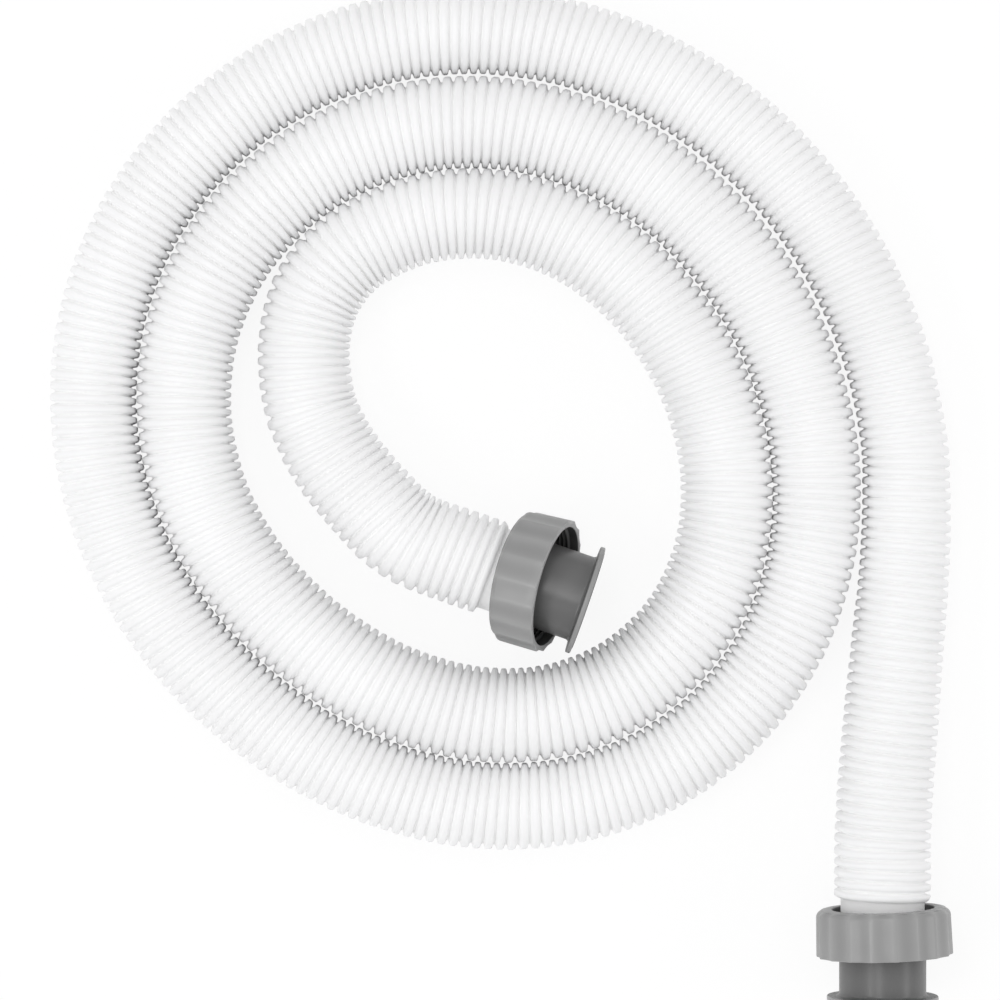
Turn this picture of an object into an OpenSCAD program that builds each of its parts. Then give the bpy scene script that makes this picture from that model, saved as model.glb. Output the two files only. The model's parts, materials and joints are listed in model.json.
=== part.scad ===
// Ribbed pool vacuum hose, lying in a flat coil, with a flanged tailpiece,
// a flat seal and a loose union nut at each end. Millimetres, +Z up.

/* [Hose] */
// Outside diameter over the ribs
hose_od = 49; // [42:0.5:56]
// Height of a rib above the wall
rib_h = 3; // [1.5:0.25:3.5]
// Thickness of the wall under the ribs
hose_wall = 2.5; // [1.5:0.25:3.5]
// Number of ribs between the two plain ends
rib_count = 190; // [90:10:200]
// Length of the plain stretch at each end
plain_end = 18.5; // [14:0.5:24]
// Width of a coiled turn as a share of the outside diameter
turn_squeeze = 0.92; // [0.88:0.01:0.96]

/* [Coil] */
// Room inside the coil beyond the radius of a union nut
core_room = 22.5; // [20:0.5:40]
// Gap between neighbouring turns
turn_gap = 1.5; // [1.4:0.1:6]
// How far the coil is drawn out into an oval
oval = 8.7; // [0:0.1:9]
// Direction of the oval's long way, clockwise from +X
oval_dir = 50; // [45:1:55]
// How far the coil is drawn into three soft corners
corner = 1.6; // [0:0.1:2]
// Direction of the first soft corner, clockwise from +X
corner_dir = 58; // [50:1:66]

/* [Tailpiece] */
// How far the sleeve stands out from the plain end of the hose
sleeve_step = 0.5; // [0.25:0.25:2]
// Length of the sleeve between the hose and the flange
sleeve_len = 30; // [26:0.5:36]
// Wall of the sleeve and of the spigot
tail_wall = 2.5; // [1.5:0.25:3]
// Length of the spigot inside the hose
spigot_len = 32; // [20:1:45]
// How far the flange reaches over the lip of the nut
flange_hold = 2.5; // [1.5:0.25:4]
// Thickness of the flange
flange_t = 2.5; // [2.25:0.25:4]
// Radius of the fillet behind the flange
flange_fillet = 2; // [1:0.25:3]

/* [Seal] */
// Width of the flat seal ring
seal_w = 4; // [2.5:0.25:4.5]
// Thickness of the seal
seal_t = 1.5; // [1:0.25:1.75]
// How far the seal stands proud of the flange
seal_proud = 0.3; // [0.2:0.05:0.6]

/* [Union nut] */
// Wall outside the thread, up to the ridges of the grip
nut_wall = 3.75; // [3.25:0.25:7]
// Length of the nut
nut_len = 24; // [20:0.5:30]
// Number of flutes round the grip
flute_count = 18; // [12:1:24]
// Radius of each hollow flute
flute_r = 40; // [30:1:60]
// How much smaller the nut's radius is at the back
nut_draft = 0.5; // [0.25:0.25:1.5]
// Rounding of the back shoulder
shoulder_r = 4; // [2:0.25:5]
// Depth of the thread
thread_depth = 1.3; // [0.8:0.1:1.8]
// Pitch of the thread
thread_pitch = 2.3; // [2:0.05:3]
// Length without thread, at the mouth and behind the thread together
thread_relief = 3.5; // [3:0.5:8]
// Thickness of the lip behind the flange
lip_t = 4; // [3:0.25:5]

/* [Fits] */
// Radial play of the sleeve in the nut's hole
nut_play = 3.75; // [3:0.25:5]
// Gap where a tailpiece or the hose rests on its nut
seat_gap = 0.4; // [0.3:0.05:0.6]
// Radial clearance of the flange in the thread
flange_clear = 1.2; // [0.8:0.1:1.5]
// Height of a resting nut above the floor
floor_gap = 0.3; // [0.1:0.05:0.5]

/* [Lay] */
// Gap between the inner nut and its flange
inner_nut_gap = 15; // [10:0.5:16]
// Upward tilt of the inner nut
inner_nut_tilt = 17; // [10:0.5:18]
// Sideways turn of the inner nut
inner_nut_turn = 4.5; // [0:0.5:6]
// Direction in which the inner end points, clockwise from +X
inner_heading = 19; // [16:0.5:20]
// Room between the inner end's mouth and the turn of the coil in front of it
mouth_room = 23.3; // [21:0.1:26]
// Gap between the outer nut and its flange
outer_nut_gap = 20.5; // [14:0.5:21]
// Sideways turn of the outer nut
outer_nut_turn = 2; // [0:0.5:4]

/* [Hidden] */

hose_white = [0.93, 0.93, 0.94];
nut_grey = [0.62, 0.62, 0.63];
tail_grey = [0.42, 0.42, 0.43];
seal_black = [0.12, 0.12, 0.12];

eps = 0.01;
smooth = 96;
edge = 0.5;  // width of the small chamfers

// Hose section
crest_r = hose_od / 2;
valley_r = crest_r - rib_h;
bore_r = valley_r - hose_wall;
ring_sides = 8;
flat_least = 180 / ring_sides;
bore_rings = 78;
floor_cut = 0.1;                        // share of the diameter lost to the floor
lie_z = crest_r * (1 - 2 * floor_cut);  // height of the centreline where the hose lies

// Sleeve, flange and nut, from the plain end of the hose outwards
sleeve_r = valley_r + sleeve_step;
hole_r = sleeve_r + nut_play;
flange_r = hole_r + flange_hold;
minor_r = flange_r + flange_clear;
major_r = minor_r + thread_depth;
front_r = major_r + nut_wall;
back_r = front_r - nut_draft;
thread_turns = floor((nut_len - lip_t - thread_relief) / thread_pitch);
thread_from = (nut_len + lip_t - thread_turns * thread_pitch) / 2;
front_crest = thread_from + (thread_turns - 0.75) * thread_pitch;

// Mouth of the sleeve and the seal in the flange's face
mouth_r = sleeve_r - tail_wall;
seal_in_r = (flange_r + mouth_r - seal_w) / 2;
seal_out_r = seal_in_r + seal_w;
seal_seat = seal_proud - seal_t;

// Coil: a spiral on an oval, from its inner to its outer end, clockwise from +X
pole_left = 10;  // place of the coil's pole from the middle of the footprint
pole_up = 26;
coil_pole = [-pole_left, pole_up];
coil_from = 240;
coil_to = 1080;
coil_step = 10;
full_turn = 360;
turn_w = hose_od * turn_squeeze;
turn_pitch = turn_w + turn_gap;
coil_r = front_r + core_room + turn_w / 2;

// Hand-laid ends of the hose: points as shares of the line from the coil's end to the
// tailpiece's root, along it and across it, each with its lift: 0 where the hose lies on
// the floor and 1 at the height of the tailpiece
inner_route = [[0.789, 0.212, 0.98], [0.753, 0.238, 0.94], [0.714, 0.258, 0.88],
               [0.669, 0.274, 0.82], [0.618, 0.29, 0.74], [0.564, 0.305, 0.65],
               [0.515, 0.316, 0.55], [0.459, 0.324, 0.43], [0.402, 0.326, 0.3],
               [0.329, 0.321, 0.16], [0.237, 0.294, 0.05], [0.157, 0.255, 0],
               [0.086, 0.198, 0], [0.04, 0.135, 0], [0.013, 0.07, 0]];
outer_route = [[0.095, -0.009, 0], [0.191, -0.013, 0], [0.294, -0.012, 0],
               [0.398, -0.007, 0.04], [0.498, -0.002, 0.2], [0.598, 0.003, 0.5],
               [0.698, 0.008, 0.82]];
inner_face_dir = 56.1;  // direction of the inner mouth from the pole
outer_left = 12.2;      // place of the outer mouth from the coil's outer end
outer_down = 283.5;
outer_heading = 90;

// Heights: each nut stands on the floor. The hose's outer end lies in the hole of its
// nut on the two edges of its lowest side, foot_w either side of the middle, and the
// inner sleeve lies on the front thread of the tilted nut.
inner_back_z = floor_gap + shoulder_r + (back_r - shoulder_r) * cos(inner_nut_tilt)
             - shoulder_r * sin(inner_nut_tilt);
outer_back_z = floor_gap + front_r;
on_hole = lip_t * sin(inner_nut_tilt) - hole_r * cos(inner_nut_tilt);
on_thread = front_crest * sin(inner_nut_tilt) - minor_r * cos(inner_nut_tilt);
inner_tail_z = inner_back_z + max(on_hole, on_thread) + seat_gap + sleeve_r;
foot_w = valley_r * tan(flat_least);
outer_tail_z = outer_back_z + valley_r - sqrt(pow(hole_r - seat_gap, 2) - pow(foot_w, 2));

// Route: the straight end at each tailpiece, the hand-laid stretches and the coil
function coil_reach(t) = coil_r + turn_pitch * t / full_turn + oval * cos(2 * (t - oval_dir))
                       + corner * cos(3 * (t - corner_dir));
function from_pole(r, t) = [coil_pole.x + r * cos(t), coil_pole.y - r * sin(t)];
function coil_at(t) = from_pole(coil_reach(t), t);

coil_start = coil_at(coil_from);
coil_end = coil_at(coil_to);
inner_at = from_pole(coil_reach(inner_face_dir + full_turn) - turn_w / 2 - mouth_room,
                     inner_face_dir);
outer_at = coil_end - [outer_left, outer_down];
inner_dir = [cos(inner_heading), -sin(inner_heading)];
outer_dir = [cos(outer_heading), -sin(outer_heading)];
inner_root = inner_at - inner_dir * (flange_t + sleeve_len);
outer_root = outer_at - outer_dir * (flange_t + sleeve_len);

function lifted(p, lift, top_z) = [p.x, p.y, lie_z + lift * (top_z - lie_z)];
function laid(a, b, share) = a + share.x * (b - a) + share.y * [b.y - a.y, a.x - b.x];

knots = concat(
    [for (k = [0:0.25:1]) lifted(inner_root - inner_dir * hose_od * k, 1, inner_tail_z)],
    [for (p = inner_route) lifted(laid(coil_start, inner_root, p), p.z, inner_tail_z)],
    [for (t = [coil_from:coil_step:coil_to]) lifted(coil_at(t), 0, inner_tail_z)],
    [for (p = outer_route) lifted(laid(coil_end, outer_root, p), p.z, outer_tail_z)],
    [for (k = [1:-0.25:0]) lifted(outer_root - outer_dir * hose_od * k, 1, outer_tail_z)]);

// A smooth curve through four points, at share t of the way between the middle two
function between(a, b, c, d, t) =
    0.5 * (2 * b + (c - a) * t + (2 * a - 5 * b + 4 * c - d) * t * t
           + (3 * b - a - 3 * c + d) * t * t * t);

curve_steps = 5;
last_knot = len(knots) - 1;
curve = concat(
    [for (i = [0:last_knot - 1], k = [0:curve_steps - 1])
        between(knots[max(i - 1, 0)], knots[i], knots[i + 1],
                knots[min(i + 2, last_knot)], k / curve_steps)],
    [knots[last_knot]]);
walked = [for (i = 0, s = 0; i < len(curve);
               s = s + (i + 1 < len(curve) ? norm(curve[i + 1] - curve[i]) : 0), i = i + 1) s];
hose_len = walked[len(walked) - 1];
along_x = [for (i = [0:len(curve) - 1]) [walked[i], curve[i].x]];
along_y = [for (i = [0:len(curve) - 1]) [walked[i], curve[i].y]];
along_z = [for (i = [0:len(curve) - 1]) [walked[i], curve[i].z]];

function centre(s) = [lookup(s, along_x), lookup(s, along_y), lookup(s, along_z)];
look = 2;  // distance looked ahead and back for the hose's direction
function sideways(s) =
    let (a = centre(s - look), b = centre(s + look), n = norm([b.x - a.x, b.y - a.y]))
    [(b.y - a.y) / n, (a.x - b.x) / n];

// The hose is round at its ends and drawn narrow in the coil
ease_len = 150;
function eased(u) = let (v = min(1, max(0, u))) v * v * (3 - 2 * v);
function squeeze(s) =
    1 - (1 - turn_squeeze) * eased((min(s, hose_len - s) - hose_od) / ease_len);

// One ring of the tube: a polygon round a circle, its lowest side no lower than bottom
function flat_angle(reach, rise) = max(flat_least, acos(min(1, rise / reach)));
function ring(s, r, bottom = 0) =
    let (c = centre(s), n = sideways(s), high = r / cos(flat_least),
         low = flat_angle(high, c.z - bottom),
         step = (full_turn - 2 * low) / (ring_sides - 1),
         wide = r * squeeze(s) / sin(low + step))
    [for (k = [0:ring_sides - 1])
        let (a = low + k * step)
        [c.x + n.x * wide * sin(a), c.y + n.y * wide * sin(a), c.z - high * cos(a)]];

rib_step = (hose_len - 2 * plain_end) / (2 * rib_count);
outer_rings = concat(
    [ring(0, valley_r)],
    [for (i = [0:2 * rib_count]) ring(plain_end + i * rib_step, i % 2 == 0 ? valley_r : crest_r)],
    [ring(hose_len, valley_r)]);
inner_rings = [for (i = [0:bore_rings]) ring(hose_len * i / bore_rings, bore_r, hose_wall)];

// The least gap between turns: each crest's side corners to the next turn's crest lines
crest_rings = [for (i = [1:2:2 * rib_count - 1]) ring(plain_end + i * rib_step, crest_r)];
own_len = 4 * hose_od;  // stretch beyond a rib that belongs to its own turn
near_by = 3 * hose_od;  // ribs further apart than this aren't compared
next_turn = ceil(own_len / (2 * rib_step));
side_corners = [1, 2, 5, 6];
function to_line(p, a, b) =
    let (t = min(1, max(0, (p - a) * (b - a) / ((b - a) * (b - a))))) norm(p - a - t * (b - a));
least_gap = min([for (i = [0:len(crest_rings) - 1], j = [i + next_turn:1:len(crest_rings) - 2])
    if (norm(crest_rings[i][1] - crest_rings[j][1]) < near_by)
        min([for (a = side_corners, b = side_corners)
            to_line(crest_rings[i][a], crest_rings[j][b], crest_rings[j + 1][b])])]);
echo(hose_len = hose_len, least_gap = least_gap, rib_pitch = 2 * rib_step);

// Faces between two rings of points that follow each other in one list
function band(a, b, out) = [for (k = [0:ring_sides - 1])
    let (m = (k + 1) % ring_sides)
    each out ? [[a + k, b + k, a + m], [a + m, b + k, b + m]]
             : [[a + k, a + m, b + k], [a + m, b + m, b + k]]];

module hose() {
    outer_count = len(outer_rings);
    inner_count = len(inner_rings);
    inner_first = outer_count * ring_sides;
    points = [for (r = concat(outer_rings, inner_rings)) each r];
    faces = concat(
        [for (i = [0:outer_count - 2]) each band(i * ring_sides, (i + 1) * ring_sides, true)],
        [for (i = [0:inner_count - 2])
            each band(inner_first + i * ring_sides, inner_first + (i + 1) * ring_sides, false)],
        band(0, inner_first, false),
        band((outer_count - 1) * ring_sides, inner_first + (inner_count - 1) * ring_sides, true));
    color(hose_white) polyhedron(points, faces, convexity = 20);
}

// Puts a piece built along +Z, with its mouth at the origin, at an end of the hose
module at_end(p, z, heading) {
    translate([p.x, p.y, z]) rotate([0, 0, -heading]) rotate([0, 90, 0]) children();
}

module tailpiece() {
    root = -(flange_t + sleeve_len);
    tip = root - spigot_len;
    passage_r = bore_r - tail_wall;
    mouth_floor = root + tail_wall + mouth_r - passage_r;
    color(tail_grey) difference() {
        rotate_extrude($fn = smooth) polygon(concat(
            [[0, 0], [flange_r - edge, 0], [flange_r, -edge], [flange_r, edge - flange_t],
             [flange_r - edge, -flange_t]],
            [for (a = [0:15:90])
                [sleeve_r + flange_fillet * (1 - sin(a)),
                 -flange_t - flange_fillet * (1 - cos(a))]],
            [[sleeve_r, root], [bore_r, root], [bore_r, tip + 2 * edge], [bore_r - edge, tip],
             [0, tip]]));
        translate([0, 0, tip - eps])
            cylinder(r = passage_r, h = eps - tip, $fn = smooth);
        translate([0, 0, root + tail_wall])
            cylinder(r1 = passage_r, r2 = mouth_r, h = mouth_r - passage_r, $fn = smooth);
        translate([0, 0, mouth_floor - eps])
            cylinder(r = mouth_r, h = 2 * eps - mouth_floor, $fn = smooth);
        translate([0, 0, seal_seat]) flat_ring(eps);
    }
}

// The ring that fills the groove in the flange's face
module flat_ring(extra) {
    difference() {
        cylinder(r = seal_out_r, h = seal_t + extra, $fn = smooth);
        translate([0, 0, -eps])
            cylinder(r = seal_in_r, h = seal_t + extra + 2 * eps, $fn = smooth);
    }
}

module seal_ring() {
    color(seal_black) translate([0, 0, seal_seat]) flat_ring(0);
}

// A union nut with its back at the origin and its open front at nut_len
module union_nut() {
    shoulder_in = back_r - shoulder_r;
    half_flute = front_r * sin(180 / flute_count);
    flute_centre = front_r * cos(180 / flute_count) + sqrt(pow(flute_r, 2) - pow(half_flute, 2));
    color(nut_grey) difference() {
        rotate_extrude($fn = smooth) polygon(concat(
            [[hole_r + edge, 0], [shoulder_in, 0]],
            [for (a = [15:15:90])
                [shoulder_in + shoulder_r * sin(a), shoulder_r * (1 - cos(a))]],
            [[front_r, nut_len - edge], [front_r - edge, nut_len], [major_r + edge, nut_len],
             [major_r, nut_len - edge]],
            [for (i = [thread_turns - 1:-1:0]) each
                [[major_r, thread_from + (i + 0.75) * thread_pitch],
                 [minor_r, thread_from + (i + 0.25) * thread_pitch]]],
            [[major_r, thread_from - thread_pitch / 4], [major_r, lip_t], [hole_r + edge, lip_t],
             [hole_r, lip_t - edge], [hole_r, edge]]));
        for (i = [0:flute_count - 1]) rotate([0, 0, (i + 0.5) * full_turn / flute_count])
            translate([flute_centre, 0, -eps])
                cylinder(r = flute_r, h = nut_len + 2 * eps, $fn = smooth);
    }
}

module inner_tailpiece() { at_end(inner_at, inner_tail_z, inner_heading) tailpiece(); }

module outer_tailpiece() { at_end(outer_at, outer_tail_z, outer_heading) tailpiece(); }

module inner_seal() { at_end(inner_at, inner_tail_z, inner_heading) seal_ring(); }

module outer_seal() { at_end(outer_at, outer_tail_z, outer_heading) seal_ring(); }

// The inner nut stands on the edge of its back, tilted up round that edge
module inner_union_nut() {
    back = inner_at - inner_dir * (flange_t + inner_nut_gap + nut_len * cos(inner_nut_tilt));
    at_end(back, inner_back_z, inner_heading - inner_nut_turn)
        rotate([0, -inner_nut_tilt, 0]) union_nut();
}

// The outer nut stands on the floor, turned a little to the side
module outer_union_nut() {
    back = outer_at - outer_dir * (flange_t + outer_nut_gap + nut_len);
    at_end(back, outer_back_z, outer_heading - outer_nut_turn) union_nut();
}

hose();
inner_tailpiece();
outer_tailpiece();
inner_seal();
outer_seal();
inner_union_nut();
outer_union_nut();
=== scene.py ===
"""A ribbed pool vacuum hose lying in a flat coil, with a flanged tailpiece, a flat
seal and a loose union nut at each end, on a plain pale floor. Metres, +Z up."""

import json
import math

import bmesh
import bpy
import numpy as np
from bpy.props import FloatProperty, FloatVectorProperty, IntProperty, PointerProperty
from mathutils import Matrix, Vector


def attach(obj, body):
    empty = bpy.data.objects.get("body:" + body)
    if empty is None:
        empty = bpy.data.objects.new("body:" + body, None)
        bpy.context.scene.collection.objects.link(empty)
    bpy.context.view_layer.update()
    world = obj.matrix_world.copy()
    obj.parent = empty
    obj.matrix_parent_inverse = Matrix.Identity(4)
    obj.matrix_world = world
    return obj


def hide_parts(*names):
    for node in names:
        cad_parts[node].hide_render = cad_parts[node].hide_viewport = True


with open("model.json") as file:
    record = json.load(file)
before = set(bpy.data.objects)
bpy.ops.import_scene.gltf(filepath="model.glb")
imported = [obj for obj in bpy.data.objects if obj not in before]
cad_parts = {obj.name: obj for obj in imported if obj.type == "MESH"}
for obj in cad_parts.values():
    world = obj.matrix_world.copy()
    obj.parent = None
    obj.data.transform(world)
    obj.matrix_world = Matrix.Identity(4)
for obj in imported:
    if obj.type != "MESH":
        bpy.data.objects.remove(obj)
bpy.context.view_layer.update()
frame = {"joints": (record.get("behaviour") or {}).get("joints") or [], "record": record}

bl_info = {
    "name": "Coiled pool hose",
    "version": (1, 0, 0),
    "blender": (4, 5, 0),
    "location": "View3D > Sidebar > Pool hose",
    "description": "Builds a coiled pool vacuum hose with its tailpieces and union nuts",
    "category": "Object",
}

MM = 0.001
MERGE = 0.002 * MM  # points nearer than this are one
LATHE_SIDES = 128  # of the tailpieces and seals

# The hose's lay: the coil's pole in millimetres, and its inner and outer end, the oval's
# long way and one corner in degrees clockwise from +X. Each end outside the coil is given as
# shares of the line from the coil's end to the tailpiece's root, along it and across it,
# with its lift to the tailpiece's height.
COIL_POLE = (-10, 26)
COIL_FROM = 240
COIL_TO = 1080
COIL_STEP = 10
OVAL_AT = 50
CORNER_AT = 58
INNER_ROUTE = [(0.789, 0.212, 0.98), (0.753, 0.238, 0.94), (0.714, 0.258, 0.88),
               (0.669, 0.274, 0.82), (0.618, 0.29, 0.74), (0.564, 0.305, 0.65),
               (0.515, 0.316, 0.55), (0.459, 0.324, 0.43), (0.402, 0.326, 0.3),
               (0.329, 0.321, 0.16), (0.237, 0.294, 0.05), (0.157, 0.255, 0),
               (0.086, 0.198, 0), (0.04, 0.135, 0), (0.013, 0.07, 0)]
OUTER_ROUTE = [(0.095, -0.009, 0), (0.191, -0.013, 0), (0.294, -0.012, 0),
               (0.398, -0.007, 0.04), (0.498, -0.002, 0.2), (0.598, 0.003, 0.5),
               (0.698, 0.008, 0.82)]
END_KNOTS = (0, 0.25, 0.5, 0.75, 1)  # along each straight end, in hose diameters
CURVE_STEPS = 10

# Half the hose's width over the ribs, in millimetres, at angles of the coil
TURN_WIDTHS = [(240, 23.0), (330, 23.1), (430, 24.1), (570, 24.1), (670, 23.2),
               (760, 22.1), (1080, 22.1)]

# One rib across its width, as shares of the pitch and of the rib's height
RIB_PROFILE = [(0, 0), (0.12, 0.25), (0.21, 0.84), (0.33, 1), (0.67, 1), (0.79, 0.84),
               (0.88, 0.25)]

# The ribs' unevenness, as a share of their height, and its waves: radians a metre along
# the hose, waves round it, and the wave's start in radians
UNEVENNESS = 0.02
RIPPLES = [(61, 0, 1.3), (143, 2, 0), (389, -1, 0.7), (733, 3, 0)]

# How the hose lies on the floor: the height over which its lowest side turns flat, and
# how far its round section would reach below the floor
LIE_SOFTNESS = 3 * MM
LIE_SUNK = 4.9 * MM
BORE_STEPS = 160

# Painted light on a place, from 0, painted shade in a recess, to 1, a painted highlight on an
# edge
LIT_RIM = 1.0
LIT_SLEEVE = 0.2
LIT_NUT_FACE = 0.9
LIT_GRIP = 0.6
LIT_GRIP_RIDGE = 0.2
LIT_THREAD = 0.45

# The lamps: place, width and length in metres, and power in watts
LAMPS = {"overhead": ((-0.45, 0.5, 2.45), (0.5, 2), 12),
         "left": ((-1.6, -0.9, 2.3), (0.4, 1.6), 15),
         "side": ((2.2, 0, 1.17), (0.35, 2), 7)}


def length(name, text, default):
    """A size in metres, given in millimetres."""
    return FloatProperty(name=name, description=text, default=default * MM, min=0,
                         unit="LENGTH", subtype="DISTANCE")


def tint(name, text, default):
    """A colour, given as one linear grey or as three channels."""
    channels = default if isinstance(default, tuple) else (default,) * 3
    return FloatVectorProperty(name=name, description=text, default=channels, min=0, max=1,
                               size=3, subtype="COLOR")


def share(name, text, default):
    """A number from 0 to 1."""
    return FloatProperty(name=name, description=text, default=default, min=0, max=1,
                         subtype="FACTOR")


class HoseSettings(bpy.types.PropertyGroup):
    crest_r: length("Crest radius", "Radius over the ribs", 24.5)
    rib_h: length("Rib height", "Height of a rib above the valley", 3.2)
    bore_r: length("Bore radius", "Radius of the water way", 19.1)
    rib_pitch: length("Rib pitch", "Distance from rib to rib", 5.4)
    plain_end: length("Plain end", "Length without ribs at each end", 15.3)
    turn_pitch: length("Turn pitch", "Distance from turn to turn of the coil", 46.58)
    coil_r: length("Coil radius", "Radius at which the spiral starts", 79.54)
    oval: length("Oval", "How far the coil is drawn out into an oval", 8.7)
    corner: length("Corners", "How far the coil is drawn into three corners", 1.6)
    lie_z: length("Height", "Height of the centreline where the hose lies", 19.6)
    sides: IntProperty(name="Sides", description="Points round the hose", default=24, min=12,
                       max=48)
    # The valleys are painted paler than the crests: a painted lift of the shade that falls
    # between the ribs
    crest_colour: tint("Crest colour", "Colour of the ribs", (0.855, 0.855, 0.86))
    valley_colour: tint("Valley colour", "Colour between the ribs", (0.99, 0.99, 0.99))
    roughness: share("Roughness", "Roughness of the hose's skin", 0.42)


class TailSettings(bpy.types.PropertyGroup):
    sleeve_r: length("Sleeve radius", "Outside radius of the sleeve", 22)
    sleeve_len: length("Sleeve length", "From the hose to the flange", 30)
    mouth_r: length("Mouth radius", "Radius of the open mouth", 19.5)
    passage_r: length("Passage radius", "Radius of the water way in the spigot", 16.5)
    spigot_r: length("Spigot radius", "Outside radius inside the hose", 19)
    spigot_len: length("Spigot length", "Length inside the hose", 32)
    wall: length("Wall", "Wall of the sleeve and of the spigot", 2.5)
    flange_r: length("Flange radius", "Radius of the flange", 28.25)
    flange_t: length("Flange thickness", "Thickness of the flange", 2.5)
    fillet: length("Fillet", "Radius of the fillet behind the flange", 2)
    rim: length("Rim rounding", "Rounding of the flange's rim", 0.6)
    colour: tint("Colour", "Colour of the tailpieces", 0.12)
    roughness: share("Roughness", "Roughness of the tailpieces", 0.31)


class SealSettings(bpy.types.PropertyGroup):
    inner_r: length("Inner radius", "Inner radius of the ring", 21.875)
    outer_r: length("Outer radius", "Outer radius of the ring", 25.875)
    thickness: length("Thickness", "Thickness of the ring", 1.5)
    proud: length("Proud", "How far the ring stands out of the flange", 0.3)
    colour: tint("Colour", "Colour of the seals", 0.015)
    roughness: share("Roughness", "Roughness of the seals", 0.7)


class NutSettings(bpy.types.PropertyGroup):
    front_r: length("Front radius", "Radius over the ridges at the front", 34.5)
    back_r: length("Back radius", "Radius over the ridges at the back", 34)
    nut_len: length("Length", "Length of the nut", 24)
    hole_r: length("Hole radius", "Radius of the hole in the lip", 25.75)
    lip_t: length("Lip thickness", "Thickness of the lip", 4)
    major_r: length("Thread root radius", "Radius of the wall under the thread", 30.75)
    minor_r: length("Thread crest radius", "Radius inside the thread", 29.45)
    pitch: length("Thread pitch", "Distance from thread to thread", 2.3)
    thread_turns: IntProperty(name="Thread turns", description="Turns of the thread",
                              default=7, min=1, max=20)
    shoulder: length("Shoulder rounding", "Rounding of the back's outer edge", 4)
    edge: length("Edge rounding", "Rounding of the other edges", 0.6)
    flutes: IntProperty(name="Flutes", description="Flutes round the grip", default=18,
                        min=6, max=36)
    flute_depth: length("Flute depth", "Depth of a flute below its ridges", 1.2)
    inner_roll: FloatProperty(name="Inner nut's roll", description="How far it is turned",
                              default=math.radians(-3), subtype="ANGLE")
    outer_roll: FloatProperty(name="Outer nut's roll", description="How far it is turned",
                              default=math.radians(4), subtype="ANGLE")
    colour: tint("Colour", "Colour of the nuts", 0.25)
    roughness: share("Roughness", "Roughness of the nuts", 0.34)


class StageSettings(bpy.types.PropertyGroup):
    camera_height: FloatProperty(name="Camera height", description="Above the floor",
                                 default=2.119, unit="LENGTH", subtype="DISTANCE")
    aim_x: length("Aim X", "Where the camera looks, along X", 0.04)
    aim_y: FloatProperty(name="Aim Y", description="Where the camera looks, along Y",
                         default=-3.94 * MM, unit="LENGTH", subtype="DISTANCE")
    lens: FloatProperty(name="Lens", description="Focal length in millimetres",
                        default=148.2, min=10, max=400)
    floor_size: FloatProperty(name="Floor size", description="Width of the floor",
                              default=8.0, unit="LENGTH", subtype="DISTANCE")
    floor_colour: tint("Floor colour", "Colour of the floor", 0.95)
    sky: FloatProperty(name="Sky", description="Light from all round", default=0.77, min=0,
                       max=2)


class PoolHoseSettings(bpy.types.PropertyGroup):
    hose: PointerProperty(type=HoseSettings)
    tail: PointerProperty(type=TailSettings)
    seal: PointerProperty(type=SealSettings)
    nut: PointerProperty(type=NutSettings)
    stage: PointerProperty(type=StageSettings)


def settings():
    """The scene's own settings."""
    return bpy.context.scene.pool_hose


# Materials

def plain_plastic(name, colour, roughness):
    """A material whose Principled shader has this colour and roughness."""
    material = bpy.data.materials.new(name)
    material.use_nodes = True
    shader = material.node_tree.nodes["Principled BSDF"]
    shader.inputs["Base Color"].default_value = (*colour, 1)
    shader.inputs["Roughness"].default_value = roughness
    return material, shader


def add_node(material, kind, **values):
    """A new node: its sockets are set by name, with _ for a space, and it is returned."""
    node = material.node_tree.nodes.new(kind)
    for key, value in values.items():
        node.inputs[key.replace("_", " ")].default_value = value
    return node


def link(material, source, target):
    material.node_tree.links.new(source, target)


def clouds(material, scale, detail=4.0):
    """Noise on the piece's own coordinates, and its output from 0 to 1."""
    place = add_node(material, "ShaderNodeTexCoord")
    noise = add_node(material, "ShaderNodeTexNoise", Scale=scale, Detail=detail)
    link(material, place.outputs["Object"], noise.inputs["Vector"])
    return noise.outputs["Fac"]


def spread(material, source, low, high):
    """The source's middle range as numbers from low to high, without a sharp end."""
    ranged = add_node(material, "ShaderNodeMapRange", From_Min=0.25, From_Max=0.75,
                      To_Min=low, To_Max=high)
    ranged.interpolation_type = "SMOOTHSTEP"
    link(material, source, ranged.inputs["Value"])
    return ranged.outputs["Result"]


def shade_by(material, factor, first, second):
    """A colour between the two by a factor."""
    mix = material.node_tree.nodes.new("ShaderNodeMix")
    mix.data_type = "RGBA"
    mix.inputs["A"].default_value = (*first, 1)
    mix.inputs["B"].default_value = (*second, 1)
    link(material, factor, mix.inputs["Factor"])
    return mix.outputs["Result"]


def multiply(material, colour, factor):
    """The colour made darker or lighter by a number."""
    node = material.node_tree.nodes.new("ShaderNodeVectorMath")
    node.operation = "SCALE"
    link(material, colour, node.inputs[0])
    link(material, factor, node.inputs["Scale"])
    return node.outputs["Vector"]


def grain(material, shader, scale, distance, strength=0.3):
    """A fine moulded grain on the shader's normal."""
    bump = add_node(material, "ShaderNodeBump", Strength=strength, Distance=distance)
    link(material, clouds(material, scale, detail=3.0), bump.inputs["Height"])
    link(material, bump.outputs["Normal"], shader.inputs["Normal"])


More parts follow.
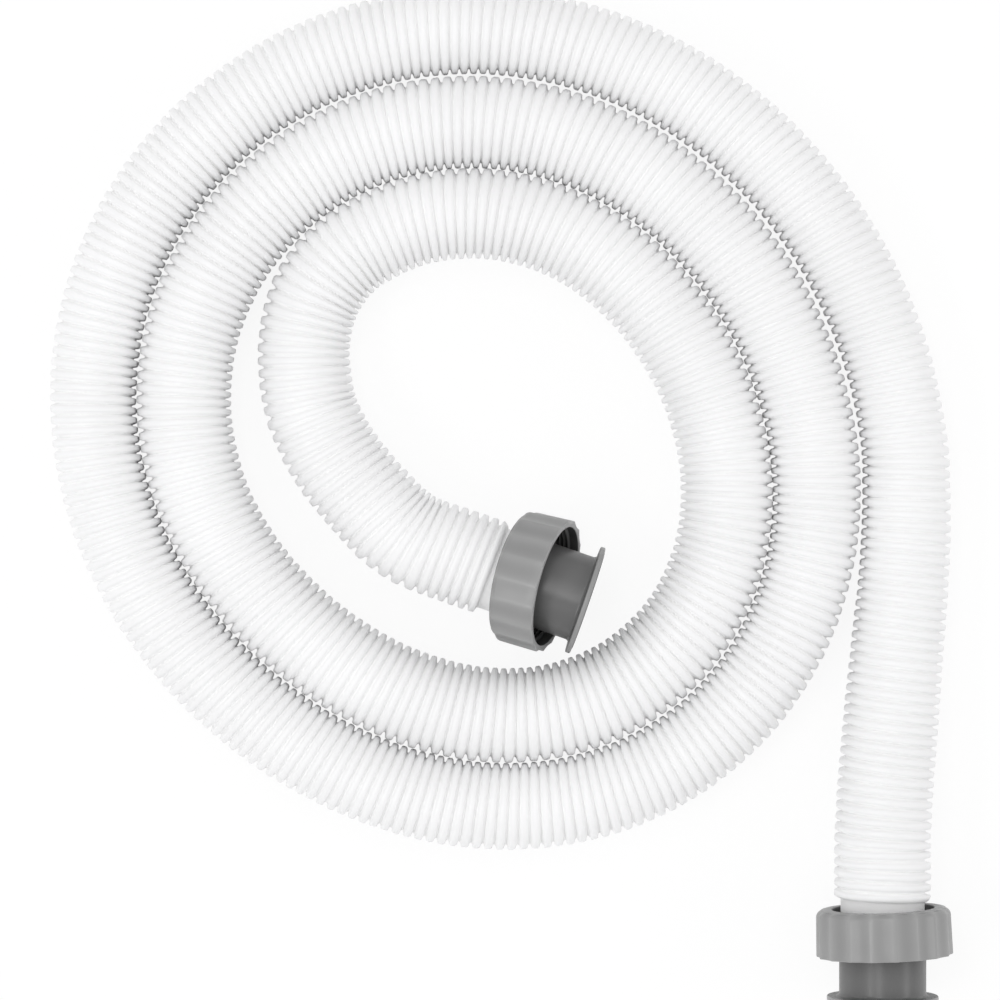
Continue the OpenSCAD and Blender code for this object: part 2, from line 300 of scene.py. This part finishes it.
def hose_skin():
    """White blow-moulded plastic, painted paler between the ribs to lift the shade that falls
    there, with a faint random tone and roughness.
    """
    hose = settings().hose
    material, shader = plain_plastic("hose_skin", hose.crest_colour, hose.roughness)
    rib = material.node_tree.nodes.new("ShaderNodeAttribute")
    rib.attribute_name = "rib_height"
    # Painted light: paler in the valleys, to lift the shade between the ribs
    colour = shade_by(material, rib.outputs["Fac"], hose.valley_colour, hose.crest_colour)
    cloudy = spread(material, clouds(material, scale=16.0), 0.975, 1.015)
    link(material, multiply(material, colour, cloudy), shader.inputs["Base Color"])
    rough = spread(material, clouds(material, scale=120.0), hose.roughness - 0.06,
                   hose.roughness + 0.08)
    link(material, rough, shader.inputs["Roughness"])
    grain(material, shader, scale=700.0, distance=0.12 * MM)
    shader.inputs["Subsurface Weight"].default_value = 0.25
    shader.inputs["Subsurface Radius"].default_value = (1, 1, 1)
    shader.inputs["Subsurface Scale"].default_value = 2 * MM
    return material


def moulded_grey(name, colour, roughness, tones, flow, grain_depth):
    """Grey moulded plastic with faint flow marks of this scale. The two tones are shares
    of the colour, for painted shade in its recesses and painted highlights on its edges."""
    material, shader = plain_plastic(name, colour, roughness)
    painted_light = material.node_tree.nodes.new("ShaderNodeAttribute")
    painted_light.attribute_name = "painted_light"
    # The tone for painted shade in recesses and the tone for painted highlights on edges
    painted_shade, painted_highlight = (tuple(channel * tone for channel in colour) for tone in tones)
    base = shade_by(material, painted_light.outputs["Fac"], painted_shade, painted_highlight)
    cloudy = spread(material, clouds(material, scale=flow, detail=2.0), 0.95, 1.05)
    link(material, multiply(material, base, cloudy), shader.inputs["Base Color"])
    rough = spread(material, clouds(material, scale=60.0, detail=1.0), roughness - 0.03,
                   roughness + 0.05)
    link(material, rough, shader.inputs["Roughness"])
    grain(material, shader, scale=900.0, distance=grain_depth)
    return material


def seal_rubber():
    """Matt black rubber with a little bloom."""
    seal = settings().seal
    material, shader = plain_plastic("seal_rubber", seal.colour, seal.roughness)
    dusty = tuple(channel * 2 for channel in seal.colour)
    bloom = shade_by(material, clouds(material, scale=60.0), seal.colour, dusty)
    link(material, bloom, shader.inputs["Base Color"])
    grain(material, shader, scale=1200.0, distance=0.08 * MM)
    return material


# Meshes

def start(add, name, **values):
    """A new primitive under this name, as the only selected object, in edit mode."""
    bpy.ops.object.select_all(action="DESELECT")
    add(**values)
    piece = bpy.context.object
    piece.name = name
    piece.data.name = name
    bpy.ops.object.mode_set(mode="EDIT")
    return piece


def pick(piece, wanted):
    """Selects the vertices that wanted(position) accepts, in vertex mode."""
    bpy.ops.mesh.select_mode(type="VERT")
    bpy.ops.mesh.select_all(action="DESELECT")
    mesh = bmesh.from_edit_mesh(piece.data)
    for vertex in mesh.verts:
        vertex.select_set(wanted(vertex.co))
    mesh.select_flush(True)
    bmesh.update_edit_mesh(piece.data)


def turned(name, rows, sides):
    """A turned shape about Z: a circle drawn out through (radius, height) rows and back
    to the first."""
    piece = start(bpy.ops.mesh.primitive_circle_add, name, vertices=sides,
                  radius=rows[0][0], location=(0, 0, rows[0][1]))
    radius, height = rows[0]
    for next_radius, next_height in rows[1:] + rows[:1]:
        bpy.ops.mesh.extrude_region_move(
            TRANSFORM_OT_translate={"value": (0, 0, next_height - height)})
        scale = next_radius / radius
        bpy.ops.transform.resize(value=(scale, scale, 1), center_override=(0, 0, 0))
        radius, height = next_radius, next_height
    bpy.ops.mesh.select_all(action="SELECT")
    bpy.ops.mesh.remove_doubles(threshold=MERGE)
    bpy.ops.mesh.normals_make_consistent(inside=False)
    bpy.ops.object.mode_set(mode="OBJECT")
    bpy.ops.object.transform_apply(location=True, rotation=True, scale=True)
    return piece


def arc(centre, radius, first, last, steps=4):
    """Points (radius, height) round a centre, from one angle to the other, in degrees."""
    angles = [math.radians(first + (last - first) * i / steps) for i in range(steps + 1)]
    return [(centre[0] + radius * math.cos(a), centre[1] + radius * math.sin(a))
            for a in angles]


def smooth(piece, angle=32):
    """Smooth shading up to an angle between faces, in degrees."""
    bpy.ops.object.select_all(action="DESELECT")
    bpy.context.view_layer.objects.active = piece
    piece.select_set(True)
    bpy.ops.object.shade_smooth_by_angle(angle=math.radians(angle))


def seat(piece, origin, axis, roll=0):
    """Moves a piece that was built along +Z to an end of the hose, in its mesh."""
    along = Vector(axis).normalized()
    up = (Vector((0, 0, 1)) - along * along.z).normalized()
    turn = Matrix((up, along.cross(up), along)).transposed().to_4x4()
    place = Matrix.Translation(Vector(origin)) @ turn @ Matrix.Rotation(-roll, 4, "Z")
    piece.data.transform(place)
    piece.data.update()


def copy_of(piece, name):
    """A copy of a piece with a mesh of its own."""
    twin = piece.copy()
    twin.data = piece.data.copy()
    twin.name = name
    twin.data.name = name
    bpy.context.scene.collection.objects.link(twin)
    return twin


def mark(piece, name, values):
    """Stores one number a vertex on the mesh."""
    attribute = piece.data.attributes.new(name, "FLOAT", "POINT")
    attribute.data.foreach_set("value", np.asarray(values, dtype=np.float32))


def finish_piece(piece, material, slot_name, body, *nodes):
    """Gives a piece its material and body, in the place of its nodes. The slot name is not
    used.
    """
    piece.data.materials.clear()
    piece.data.materials.append(material)
    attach(piece, body)
    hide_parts(*nodes)


def mount(name):
    """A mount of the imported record."""
    return next(m for m in frame["record"]["mounts"] if m["name"] == name)


def port(end):
    """The middle of a tailpiece's mouth in its flange's face, and the way it points."""
    found = mount(end + "_port")
    axis = Vector(found["axis"]).normalized()
    return Vector(found["pos_m"]) + axis * (found["dims"]["length_mm"] * MM / 2), axis


def body_of_node(node):
    """The body that a node belongs to."""
    bodies = frame["record"]["behaviour"]["bodies"]
    return next(body for body, members in bodies.items() if node in members)


# The hose's route

def coil_point(angle):
    """A point of the coil's centreline, at an angle in degrees clockwise from +X."""
    hose = settings().hose
    radius = (hose.coil_r + hose.turn_pitch * angle / 360
              + hose.oval * math.cos(math.radians(2 * (angle - OVAL_AT)))
              + hose.corner * math.cos(math.radians(3 * (angle - CORNER_AT))))
    turn = math.radians(angle)
    return Vector((COIL_POLE[0] * MM + radius * math.cos(turn),
                   COIL_POLE[1] * MM - radius * math.sin(turn)))


def straight_end(end):
    """The knots of a straight end, from the tailpiece inwards."""
    tail = settings().tail
    mouth, axis = port(end)
    root = mouth - axis * (tail.flange_t + tail.sleeve_len)
    return [root - axis * (settings().hose.crest_r * 2 * knot) for knot in END_KNOTS]


def hand_laid(points, start, root):
    """Knots laid between the coil's end and the tailpiece's root."""
    low = settings().hose.lie_z
    way = root.xy - start
    return [Vector((start.x + along * way.x + across * way.y,
                    start.y + along * way.y - across * way.x,
                    low + lift * (root.z - low))) for along, across, lift in points]


def between(a, b, c, d, t):
    """A smooth curve through four points, at share t of the way between b and c."""
    return 0.5 * (2 * b + (c - a) * t + (2 * a - 5 * b + 4 * c - d) * t * t
                  + (3 * b - a - 3 * c + d) * t * t * t)


def hose_route():
    """The centreline's points, their distance from the inner end, and the coil's angles
    with their distances."""
    angles = list(range(COIL_FROM, COIL_TO + 1, COIL_STEP))
    low = settings().hose.lie_z
    inner, outer = straight_end("inner"), straight_end("outer")
    first = inner + hand_laid(INNER_ROUTE, coil_point(COIL_FROM), inner[0])
    coil = [coil_point(angle).to_3d() + Vector((0, 0, low)) for angle in angles]
    last = hand_laid(OUTER_ROUTE, coil_point(COIL_TO), outer[0]) + outer[::-1]
    knots = np.array([tuple(knot) for knot in first + coil + last])
    padded = np.vstack([knots[:1], knots, knots[-1:]])
    points = [between(*padded[i:i + 4], step / CURVE_STEPS)
              for i in range(len(knots) - 1) for step in range(CURVE_STEPS)]
    points = np.array(points + [knots[-1]])
    steps = np.linalg.norm(np.diff(points, axis=0), axis=1)
    walked = np.concatenate([[0], np.cumsum(steps)])
    coil_marks = walked[[(len(first) + i) * CURVE_STEPS for i in range(len(angles))]]
    return points, walked, angles, coil_marks


class Tube:
    """The hose's skin as a function of the distance along it and the angle round it."""

    def __init__(self):
        self.points, self.walked, angles, marks = hose_route()
        self.length = self.walked[-1]
        crest = settings().hose.crest_r
        self.crest = crest
        first = [(0, crest), (2 * crest, crest)]
        coil = [(np.interp(angle, angles, marks), width * MM)
                for angle, width in TURN_WIDTHS]
        last = [(self.length - 4 * crest, crest), (self.length, crest)]
        self.marks, self.widths = zip(*(first + coil + last))

    def centre(self, run):
        return np.stack([np.interp(run, self.walked, self.points[:, k]) for k in range(3)], -1)

    def skin(self, run, turn, radius, floor=0.0):
        """Points at a distance, an angle from the lowest line and a radius."""
        step = 2 * MM
        centre = self.centre(run)
        way = self.centre(run + step) - self.centre(run - step)
        across = np.hypot(way[..., 0], way[..., 1])
        squeeze = np.interp(run, self.marks, self.widths) / self.crest
        side = radius * squeeze * np.sin(turn)
        x = centre[..., 0] + side * way[..., 1] / across
        y = centre[..., 1] - side * way[..., 0] / across
        z = centre[..., 2] - radius * np.cos(turn)
        return np.stack([x, y, settle(z, floor)], -1)


def settle(height, floor=0.0):
    """A height that comes to rest on the floor, softly, instead of passing it."""
    soft = LIE_SOFTNESS
    lowest = (math.hypot(LIE_SUNK, soft) - LIE_SUNK) / 2
    above = height - floor
    return floor + (above + np.sqrt(above * above + soft * soft)) / 2 - lowest


def eased(part):
    """A part from 0 to 1 with a soft start and end."""
    part = np.clip(part, 0, 1)
    return part * part * (3 - 2 * part)


def uneven(run, turn):
    """The ribs' small unevenness, as a factor of their height."""
    waves = sum(np.sin(run * along + turn * around + begin)
                for along, around, begin in RIPPLES)
    return 1 + UNEVENNESS * waves


class Skin:
    """The points, rib heights and faces of the hose's skin as they are laid down."""

    def __init__(self, tube, sides):
        self.tube = tube
        self.sides = sides
        self.turns = 2 * np.pi * np.arange(sides) / sides
        self.points = np.empty((0, 3))
        self.heights = np.empty(0)
        self.faces = []

    def add(self, run, radius, height=0.0, floor=0.0):
        """Adds a ring, or rows of rings, and returns the index of its first point."""
        first = len(self.points)
        run = run + np.zeros(self.sides)
        turn = self.turns + np.zeros(run.shape)
        placed = self.tube.skin(run, turn, radius, floor).reshape(-1, 3)
        self.points = np.vstack([self.points, placed])
        self.heights = np.append(self.heights, (height + np.zeros(run.shape)).ravel())
        return first

    def join(self, a, b):
        """Faces between two rings, with the second further along or further in."""
        for j in range(self.sides):
            k = (j + 1) % self.sides
            self.faces.append((a + j, b + j, b + k, a + k))


def wind_ribs(skin):
    """One rib wound from end to end: rows of points that a full turn carries on to the
    next rib. Returns the index of the point on a row at a side, and the last row."""
    hose = settings().hose
    tube, sides = skin.tube, skin.sides
    per_rib = len(RIB_PROFILE)
    ribbed = tube.length - 2 * hose.plain_end
    count = round(ribbed / hose.rib_pitch)
    pitch = ribbed / count
    last = (count - 1) * per_rib
    phase, height = np.array(RIB_PROFILE).T
    row = np.arange(last + 1)
    start_run = hose.plain_end + (row // per_rib + phase[row % per_rib]) * pitch
    run = start_run[:, None] + np.arange(sides) / sides * pitch
    ends = (run - hose.plain_end) / pitch, (tube.length - hose.plain_end - run) / pitch
    rib = height[row % per_rib][:, None] * eased(ends[0]) * eased(ends[1])
    swell = rib * hose.rib_h * uneven(run, skin.turns)
    first = skin.add(run, tube.crest - hose.rib_h + swell, rib)

    def at(i, j):
        return first + (i + j // sides * per_rib) * sides + j % sides

    for i in range(last):
        for j in range(sides):
            if i + 1 + (j + 1) // sides * per_rib <= last:
                skin.faces.append((at(i, j), at(i + 1, j), at(i + 1, j + 1), at(i, j + 1)))
    return at, last, pitch


def close_ends(skin, at, last, inner, outer):
    """Faces from the first and last row of the ribs to the plain ends' rings. The side
    where a full turn ends is closed by one face along the step between two ribs."""
    sides = skin.sides
    step = len(RIB_PROFILE)
    for j in range(sides - 1):
        skin.faces.append((inner + j, at(0, j), at(0, j + 1), inner + j + 1))
        skin.faces.append((at(last, j), outer + j, outer + j + 1, at(last, j + 1)))
    climb = [at(i, 0) for i in range(step, -1, -1)]
    skin.faces.append((inner + sides - 1, at(0, sides - 1), *climb, inner))
    edge = [at(last - i, sides - 1) for i in range(step + 1)]
    skin.faces.append((outer + sides - 1, outer, at(last, 0), *edge[::-1]))


def hose_tube():
    """The whole hose as one closed mesh: the wound rib, plain ends and the bore."""
    hose = settings().hose
    tube = Tube()
    valley = tube.crest - hose.rib_h
    wall = valley - hose.bore_r
    edge = 0.5 * MM
    skin = Skin(tube, hose.sides)
    at, last, pitch = wind_ribs(skin)
    far = tube.length
    near = hose.plain_end - 0.4 * pitch  # short of the first rib
    rings = [skin.add(0, valley - edge), skin.add(edge, valley), skin.add(near, valley)]
    skin.join(rings[0], rings[1])
    skin.join(rings[1], rings[2])
    ends = [skin.add(far - near, valley), skin.add(far - edge, valley),
            skin.add(far, valley - edge)]
    skin.join(ends[0], ends[1])
    skin.join(ends[1], ends[2])
    close_ends(skin, at, last, rings[2], ends[0])
    bore = [skin.add(far * i / BORE_STEPS, hose.bore_r, floor=wall)
            for i in range(BORE_STEPS, -1, -1)]
    for first, second in zip([ends[2]] + bore, bore + [rings[0]]):
        skin.join(first, second)
    mesh = bpy.data.meshes.new("ribbed_hose")
    mesh.from_pydata(skin.points.tolist(), [], skin.faces)
    mesh.validate()
    mesh.polygons.foreach_set("use_smooth", [True] * len(mesh.polygons))
    piece = bpy.data.objects.new("ribbed_hose", mesh)
    bpy.context.scene.collection.objects.link(piece)
    mark(piece, "rib_height", skin.heights)
    return piece, tube


class POOLHOSE_OT_hose(bpy.types.Operator):
    """Lays the ribbed hose along its route"""
    bl_idname = "pool_hose.hose"
    bl_label = "Ribbed hose"

    def execute(self, context):
        piece, tube = hose_tube()
        finish_piece(piece, hose_skin(), "hose_white", body_of_node("hose"), "hose")
        tuple(tube.points[0])
        return {"FINISHED"}


# The fittings

def tailpiece(name):
    """A flanged tailpiece along +Z, with its mouth at the origin."""
    tail = settings().tail
    seal = settings().seal
    root = -(tail.flange_t + tail.sleeve_len)
    tip = root - tail.spigot_len
    cone = tail.mouth_r - tail.passage_r
    mouth_floor = root + tail.wall + cone
    soft = tail.rim
    seat_z = seal.proud - seal.thickness
    rows = (
        arc((tail.mouth_r + soft, -soft), soft, 180, 90)
        + [(seal.inner_r, 0), (seal.inner_r, seat_z), (seal.outer_r, seat_z),
           (seal.outer_r, 0)]
        + arc((tail.flange_r - soft, -soft), soft, 90, 0)
        + arc((tail.flange_r - soft, soft - tail.flange_t), soft, 0, -90)
        + arc((tail.sleeve_r + tail.fillet, -tail.flange_t - tail.fillet), tail.fillet,
              90, 180, 6)
        + arc((tail.sleeve_r - soft, root + soft), soft, 0, -90)
        + [(tail.spigot_r, root), (tail.spigot_r, tip + 2 * soft)]
        + arc((tail.spigot_r - soft, tip + soft), soft, -30, -90)
        + arc((tail.passage_r + soft, tip + soft), soft, -90, -180)
        + [(tail.passage_r, root + tail.wall), (tail.mouth_r, mouth_floor)])
    piece = turned(name, rows, LATHE_SIDES)
    smooth(piece)
    # Painted light: a painted highlight on the flange's rim, a little on the sleeve's outside,
    # painted shade in the recesses
    rim = tail.flange_r - 0.4 * MM
    outside = tail.sleeve_r - 0.1 * MM
    radii = [math.hypot(vertex.co.x, vertex.co.y) for vertex in piece.data.vertices]
    mark(piece, "painted_light", [LIT_RIM if r > rim else LIT_SLEEVE if r > outside else 0.0
                         for r in radii])
    return piece


class POOLHOSE_OT_tailpieces(bpy.types.Operator):
    """Turns the two flanged tailpieces"""
    bl_idname = "pool_hose.tailpieces"
    bl_label = "Tailpieces"

    def execute(self, context):
        tail = settings().tail
        # Tones: painted shade in the recesses, a strong painted highlight on the flange's rim
        material = moulded_grey("tail_plastic", tail.colour, tail.roughness,
                                tones=(0.75, 2.2), flow=40.0, grain_depth=0.06 * MM)
        first = tailpiece("inner_tail")
        pieces = {"inner": first, "outer": copy_of(first, "outer_tail")}
        for end, piece in pieces.items():
            node = end + "_tailpiece"
            seat(piece, *port(end))
            finish_piece(piece, material, "tail_grey", body_of_node(node), node)
        return {"FINISHED"}


class POOLHOSE_OT_seals(bpy.types.Operator):
    """Lays the flat seal rings in the flanges"""
    bl_idname = "pool_hose.seals"
    bl_label = "Seals"

    def execute(self, context):
        seal = settings().seal
        soft = 0.25 * MM
        low, high = seal.proud - seal.thickness, seal.proud
        rows = (arc((seal.outer_r - soft, low + soft), soft, -90, 0, 3)
                + arc((seal.outer_r - soft, high - soft), soft, 0, 90, 3)
                + arc((seal.inner_r + soft, high - soft), soft, 90, 180, 3)
                + arc((seal.inner_r + soft, low + soft), soft, 180, 270, 3))
        first = turned("inner_flat_seal", rows, LATHE_SIDES)
        smooth(first, 50)
        material = seal_rubber()
        pieces = {"inner": first, "outer": copy_of(first, "outer_flat_seal")}
        for end, piece in pieces.items():
            node = end + "_seal"
            seat(piece, *port(end))
            finish_piece(piece, material, "seal_black", body_of_node(node), node)
        return {"FINISHED"}


def grip_wall():
    """A radius inside the nut's wall, between its thread and its grip."""
    nut = settings().nut
    return (nut.major_r + nut.back_r) / 2


def flute_phase(position, steps, flutes):
    """How far a point of the grip is from a ridge, in points of the circle."""
    point = round(math.atan2(position.y, position.x) / (2 * math.pi) * steps * flutes)
    return min(point % steps, steps - point % steps)


def cut_flutes(piece, steps):
    """Scales the grip's hollows in, one line of points after the other. They are less
    deep on the rounded shoulder."""
    nut = settings().nut
    inside = grip_wall() - 0.6 * MM
    full, faint = nut.shoulder * 0.7, nut.shoulder * 0.1
    for phase in range(1, steps // 2 + 1):
        hollow = math.sin(math.pi / 2 * phase / (steps // 2)) ** 0.9
        for low, high, part in ((full, 1, 1.0), (faint, full, 0.75)):
            pick(piece, lambda co: low <= co.z < high
                 and math.hypot(co.x, co.y) > inside
                 and flute_phase(co, steps, nut.flutes) == phase)
            scale = 1 - nut.flute_depth * hollow * part / nut.front_r
            bpy.ops.transform.resize(value=(scale, scale, 1), center_override=(0, 0, 0))


def thread_ridge():
    """The thread inside the nut: a small ridge wound by the Screw modifier."""
    nut = settings().nut
    half = nut.pitch * 0.42  # of the ridge's width at its foot
    depth = nut.major_r - nut.minor_r
    foot = 0.3 * MM  # inside the nut's wall
    crest_share = 0.25
    turn_steps = 96
    # Half a pitch back, so that the thread's front end clears the sleeve as the nut turns
    start_z = (nut.nut_len + nut.lip_t - (nut.thread_turns + 1) * nut.pitch) / 2
    ridge = start(bpy.ops.mesh.primitive_plane_add, "thread", size=1,
                  rotation=(math.pi / 2, 0, 0))
    bpy.ops.mesh.delete(type="ONLY_FACE")
    bpy.ops.object.mode_set(mode="OBJECT")
    bpy.ops.object.transform_apply(location=True, rotation=True, scale=True)
    bpy.ops.object.mode_set(mode="EDIT")
    bpy.ops.mesh.select_all(action="SELECT")
    bpy.ops.transform.resize(value=(depth + foot, 1, 2 * half), center_override=(0, 0, 0))
    pick(ridge, lambda co: co.x < 0)
    bpy.ops.transform.resize(value=(1, 1, crest_share), center_override=(0, 0, 0))
    bpy.ops.mesh.select_all(action="SELECT")
    bpy.ops.transform.translate(
        value=(nut.major_r + foot / 2 - depth / 2, 0, start_z + half))
    bpy.ops.object.mode_set(mode="OBJECT")
    screw = ridge.modifiers.new("Turns", "SCREW")
    screw.axis = "Z"
    screw.angle = 2 * math.pi
    screw.screw_offset = nut.pitch
    screw.iterations = nut.thread_turns - 1
    screw.steps = turn_steps
    screw.render_steps = turn_steps
    bpy.ops.object.modifier_apply(modifier=screw.name)
    bpy.ops.object.mode_set(mode="EDIT")
    bpy.ops.mesh.select_all(action="SELECT")
    bpy.ops.mesh.remove_doubles(threshold=MERGE)
    bpy.ops.mesh.fill_holes(sides=4)
    bpy.ops.mesh.select_all(action="SELECT")
    bpy.ops.mesh.normals_make_consistent(inside=False)
    bpy.ops.object.mode_set(mode="OBJECT")
    return ridge


def union_nut(name):
    """A fluted union nut along +Z, with its back at the origin."""
    nut = settings().nut
    steps = 8  # points to a flute
    soft = nut.edge
    shoulder = nut.shoulder
    rows = (
        arc((nut.hole_r + soft, soft), soft, 180, 270)
        + arc((nut.back_r - shoulder, shoulder), shoulder, -90, 0, 8)
        + [(nut.back_r + (nut.front_r - nut.back_r) * k, shoulder
            + (nut.nut_len - soft - shoulder) * k) for k in (0.25, 0.5, 0.75)]
        + arc((nut.front_r - soft, nut.nut_len - soft), soft, 0, 90)
        + arc((nut.major_r + soft, nut.nut_len - soft), soft, 90, 180)
        + [(nut.major_r, nut.lip_t + soft), (nut.major_r - soft, nut.lip_t)]
        + arc((nut.hole_r + soft, nut.lip_t - soft), soft, 90, 180))
    piece = turned(name, rows, steps * nut.flutes)
    bpy.ops.object.mode_set(mode="EDIT")
    cut_flutes(piece, steps)
    bpy.ops.object.mode_set(mode="OBJECT")
    ridge = thread_ridge()
    bpy.ops.object.select_all(action="DESELECT")
    ridge.select_set(True)
    piece.select_set(True)
    bpy.context.view_layer.objects.active = piece
    bpy.ops.object.join()
    smooth(piece, 40)
    mark(piece, "painted_light", [nut_light_share(vertex.co, steps) for vertex in piece.data.vertices])
    return piece


def nut_light_share(co, steps):
    """How much painted light a point of the nut gets: a painted highlight on its front face
    and its outside, stronger on the ridges, less on its thread, and painted shade elsewhere.
    """
    nut = settings().nut
    radius = math.hypot(co.x, co.y)
    ridge_share = 1 - flute_phase(co, steps, nut.flutes) / (steps / 2)
    if nut.nut_len - co.z < 0.2 * MM:
        return LIT_NUT_FACE
    # The grip's outside gets a painted highlight, stronger on its ridges
    if radius > (grip_wall() if co.z > nut.lip_t / 2 else nut.hole_r + nut.edge):
        return LIT_GRIP + LIT_GRIP_RIDGE * ridge_share ** 2
    on_thread = radius < nut.major_r - 0.3 * MM and co.z > nut.lip_t + nut.edge
    return LIT_THREAD if on_thread else 0.0


class POOLHOSE_OT_union_nuts(bpy.types.Operator):
    """Models the two fluted union nuts"""
    bl_idname = "pool_hose.union_nuts"
    bl_label = "Union nuts"

    def execute(self, context):
        nut = settings().nut
        # Tones: painted shade in the hole and thread roots, painted highlights on the grip and
        # front face
        material = moulded_grey("nut_plastic", nut.colour, nut.roughness,
                                tones=(0.35, 1.45), flow=28.0, grain_depth=0.1 * MM)
        first = union_nut("inner_nut_piece")
        pieces = {"inner": (first, nut.inner_roll),
                  "outer": (copy_of(first, "outer_nut_piece"), nut.outer_roll)}
        joints = {joint["name"]: joint for joint in frame["joints"]}
        for end, (piece, roll) in pieces.items():
            joint = joints[end + "_nut_spin"]
            node = end + "_union_nut"
            seat(piece, joint["pos_m"], joint["axis"], roll)
            finish_piece(piece, material, "nut_grey", body_of_node(node), node)
        return {"FINISHED"}


# The stage

class POOLHOSE_OT_camera(bpy.types.Operator):
    """Sets the camera straight above the coil"""
    bl_idname = "pool_hose.camera"
    bl_label = "Camera"

    def execute(self, context):
        stage = settings().stage
        data = bpy.data.cameras.new("camera")
        data.sensor_width = 36
        data.lens = stage.lens
        data.clip_end = 50
        camera = bpy.data.objects.new("camera", data)
        camera.location = (stage.aim_x, stage.aim_y, stage.camera_height)
        context.scene.collection.objects.link(camera)
        context.scene.camera = camera
        return {"FINISHED"}


def soft_light(name, place, size, watts):
    """A long lamp, with its length along Y, that looks at the middle of the coil."""
    data = bpy.data.lights.new(name, "AREA")
    data.shape = "RECTANGLE"
    data.size, data.size_y = size
    data.energy = watts
    lamp = bpy.data.objects.new(name, data)
    back = Vector(place).normalized()
    side = Vector((0, 1, 0)).cross(back).normalized()
    turn = Matrix((side, back.cross(side), back)).transposed().to_4x4()
    lamp.matrix_world = Matrix.Translation(Vector(place)) @ turn
    bpy.context.scene.collection.objects.link(lamp)


def floor_finish():
    """Pale paper that the camera sees nearly white, with the hose's soft shadow."""
    stage = settings().stage
    white_share = 0.9
    material, shader = plain_plastic("floor_paper", stage.floor_colour, 0.9)
    link(material, spread(material, clouds(material, scale=3.0), 0.88, 0.92),
         shader.inputs["Roughness"])
    shader.inputs["Specular IOR Level"].default_value = 0.1
    glow = add_node(material, "ShaderNodeEmission", Strength=1.0)
    seen = add_node(material, "ShaderNodeLightPath")
    part = add_node(material, "ShaderNodeMath")
    part.operation = "MULTIPLY"
    part.inputs[1].default_value = white_share
    link(material, seen.outputs["Is Camera Ray"], part.inputs[0])
    mix = add_node(material, "ShaderNodeMixShader")
    output = material.node_tree.nodes["Material Output"]
    link(material, part.outputs["Value"], mix.inputs["Fac"])
    link(material, shader.outputs["BSDF"], mix.inputs[1])
    link(material, glow.outputs["Emission"], mix.inputs[2])
    link(material, mix.outputs["Shader"], output.inputs["Surface"])
    return material


class POOLHOSE_OT_stage(bpy.types.Operator):
    """Lays the floor and sets the soft studio light"""
    bl_idname = "pool_hose.stage"
    bl_label = "Stage"

    def execute(self, context):
        stage = settings().stage
        bpy.ops.object.select_all(action="DESELECT")
        under = -0.2 * MM  # the CAD floor
        bpy.ops.mesh.primitive_plane_add(size=stage.floor_size, location=(0, 0, under))
        floor = context.object
        floor.name = "floor"
        floor.data.materials.append(floor_finish())
        for name, (place, size, watts) in LAMPS.items():
            soft_light(name, place, size, watts)
        world = bpy.data.worlds.new("studio")
        world.use_nodes = True
        background = world.node_tree.nodes["Background"]
        background.inputs["Color"].default_value = (1, 1, 1, 1)
        background.inputs["Strength"].default_value = stage.sky
        context.scene.world = world
        context.scene.view_settings.view_transform = "Standard"
        return {"FINISHED"}


class POOLHOSE_PT_panel(bpy.types.Panel):
    bl_label = "Pool hose"
    bl_space_type = "VIEW_3D"
    bl_region_type = "UI"
    bl_category = "Pool hose"

    def draw(self, context):
        groups = context.scene.pool_hose
        for group, operator in ((groups.stage, "pool_hose.camera"),
                                (groups.hose, "pool_hose.hose"),
                                (groups.tail, "pool_hose.tailpieces"),
                                (groups.seal, "pool_hose.seals"),
                                (groups.nut, "pool_hose.union_nuts")):
            box = self.layout.box()
            for name in group.__annotations__:
                box.prop(group, name)
            box.operator(operator)
        self.layout.operator("pool_hose.stage")


CLASSES = (HoseSettings, TailSettings, SealSettings, NutSettings, StageSettings,
           PoolHoseSettings, POOLHOSE_OT_camera, POOLHOSE_OT_hose, POOLHOSE_OT_tailpieces,
           POOLHOSE_OT_seals, POOLHOSE_OT_union_nuts, POOLHOSE_OT_stage, POOLHOSE_PT_panel)


def register():
    for cls in CLASSES:
        bpy.utils.register_class(cls)
    bpy.types.Scene.pool_hose = PointerProperty(type=PoolHoseSettings)


def unregister():
    del bpy.types.Scene.pool_hose
    for cls in reversed(CLASSES):
        bpy.utils.unregister_class(cls)


def main():
    register()
    bpy.ops.pool_hose.camera()
    bpy.ops.pool_hose.hose()
    bpy.ops.pool_hose.tailpieces()
    bpy.ops.pool_hose.seals()
    bpy.ops.pool_hose.union_nuts()
    bpy.ops.pool_hose.stage()


if __name__ == "__main__":
    main()
